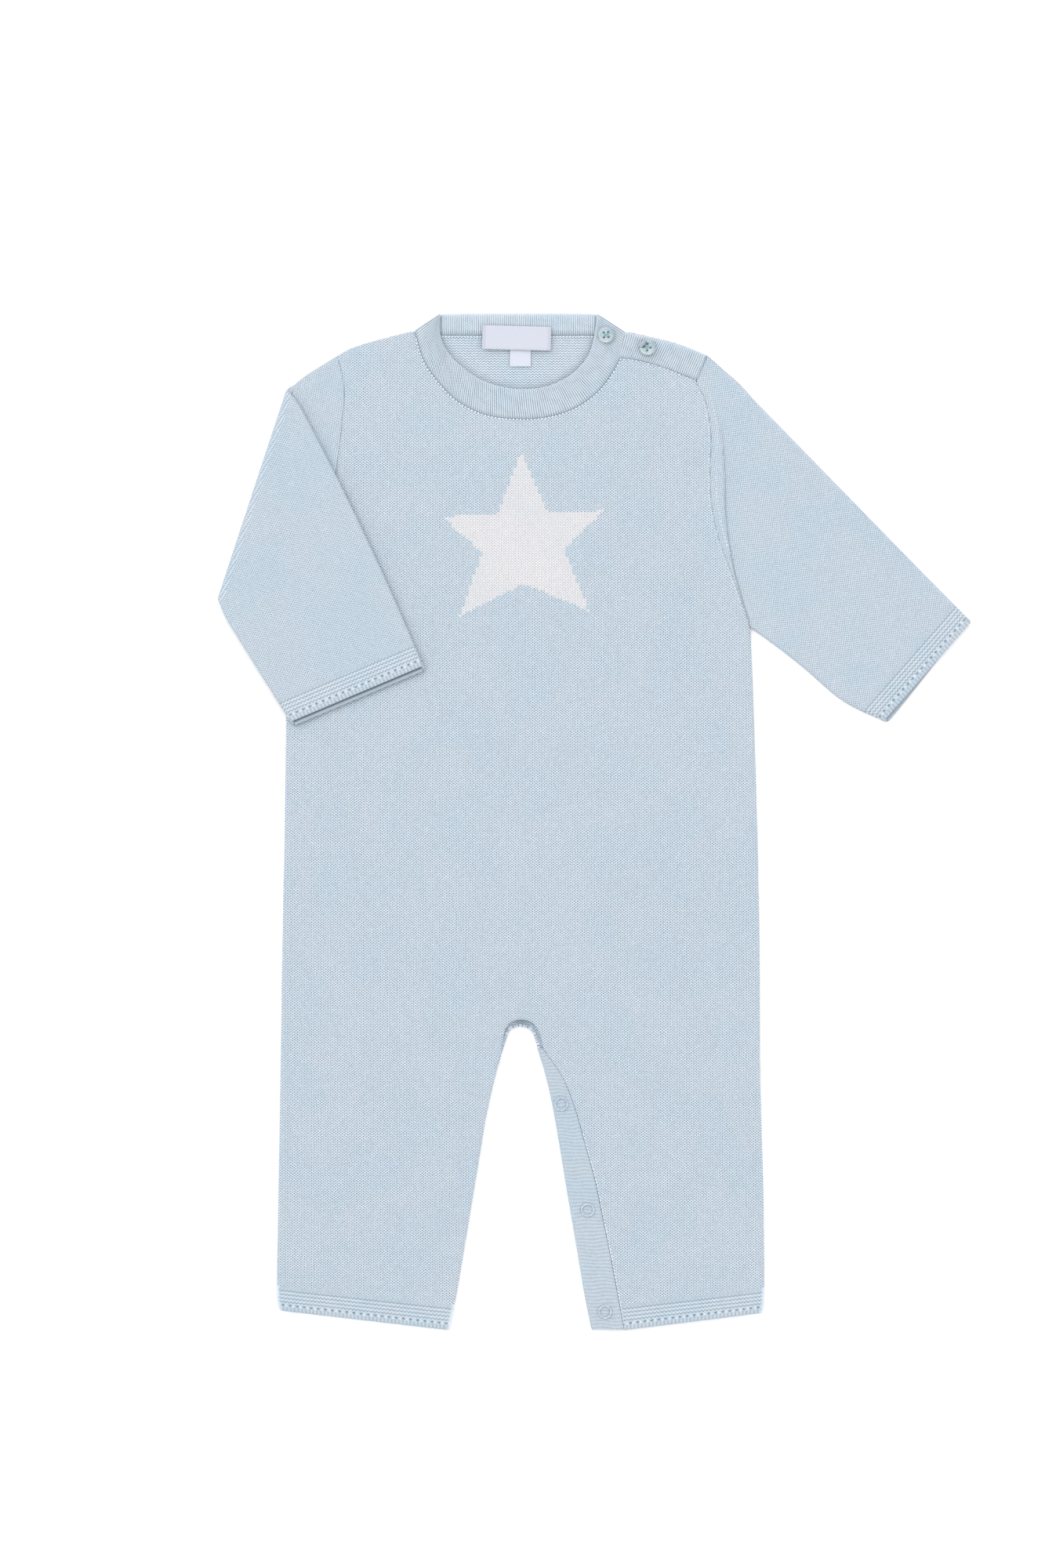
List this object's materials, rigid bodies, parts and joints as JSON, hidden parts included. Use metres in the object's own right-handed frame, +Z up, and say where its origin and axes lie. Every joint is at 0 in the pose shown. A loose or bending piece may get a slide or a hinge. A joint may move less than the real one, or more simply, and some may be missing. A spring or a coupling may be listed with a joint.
{
  "type": "baby romper",
  "caption": "Knitted baby romper with long sleeves and legs, laid flat with a sleeve turned back over the chest, ribbed neck, shoulder and leg button plackets.",
  "frame": {"origin": "middle of the whole garment's outline, on the surface that it lies on", "axes": "+Z up, away from the surface; +Y from the leg hems towards the neck; +X towards the straight sleeve, the wearer's left"},
  "size_m": [0.4045, 0.545, 0.008],
  "materials": {
    "knit": "fine stockinette knit, pale blue marl, matt",
    "rib": "fine rib knit, pale blue marl, matt",
    "ribbon": "satin ribbon, blank",
    "shell": "mother-of-pearl, pale turquoise thread",
    "snap": "lacquered ring, pale blue"
  },
  "bodies": {
    "root": {"back_panel": "knit", "front_panel": "knit", "sleeve_straight": "knit", "sleeve_folded": "knit", "neckband_front": "rib", "neckband_back": "rib", "shoulder_placket": "rib", "leg_placket": "rib", "woven_label": "ribbon", "size_tab": "ribbon", "button_neck": "shell", "button_shoulder": "shell", "snap_1": "snap", "snap_2": "snap", "snap_3": "snap"}
  },
  "joints": []
}
